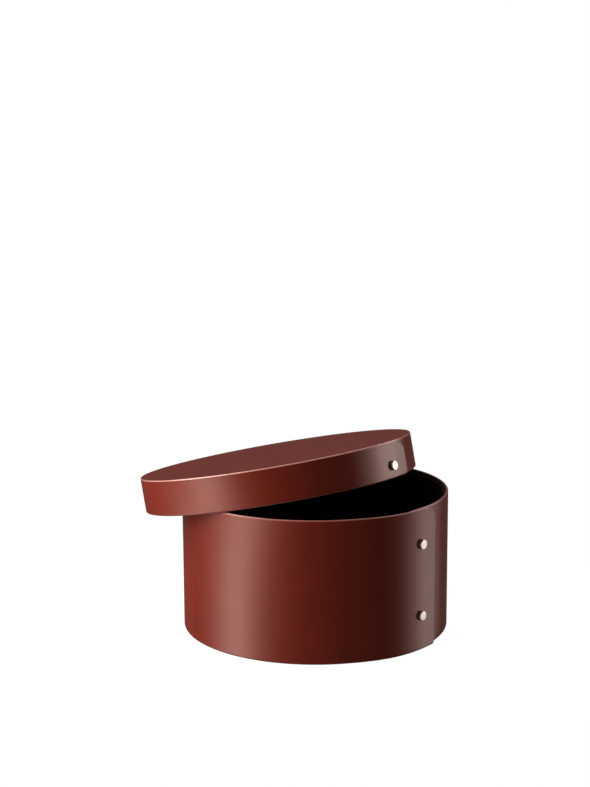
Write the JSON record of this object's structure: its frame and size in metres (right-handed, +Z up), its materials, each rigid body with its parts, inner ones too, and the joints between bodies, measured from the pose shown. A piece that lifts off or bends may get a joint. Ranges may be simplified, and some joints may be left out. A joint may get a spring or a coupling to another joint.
{
  "type": "collar box",
  "caption": "Round leather collar box wound from one strip, lapped and riveted, with a shallow riveted lid lying askew across the rim.",
  "frame": {"origin": "middle of the box's foot, on the surface it stands on", "axes": "+Z up along the box's axis; -Y towards the viewer of the picture; the laps are front right"},
  "size_m": [0.2798, 0.2719, 0.1756],
  "materials": {
    "leather": "satin oxblood, smooth",
    "lining": "dark matt lining",
    "board": "plain pressed board",
    "brass": "polished"
  },
  "bodies": {
    "box": {"box_wall": "leather", "base_board": "leather", "wall_lining": "lining", "floor_lining": "lining", "upper_rivet": "brass", "lower_rivet": "brass", "upper_rivet_cap": "brass", "lower_rivet_cap": "brass"},
    "lid": {"lid_band": "leather", "lid_board": "board", "lid_cover": "leather", "lid_lining": "lining", "lid_rivet": "brass", "lid_rivet_cap": "brass"}
  },
  "joints": [
    {"name": "lid_lift", "type": "slide", "parent": "box", "child": "lid", "axis": [0, 0, 1], "range_m": [0, 0.15]}
  ]
}
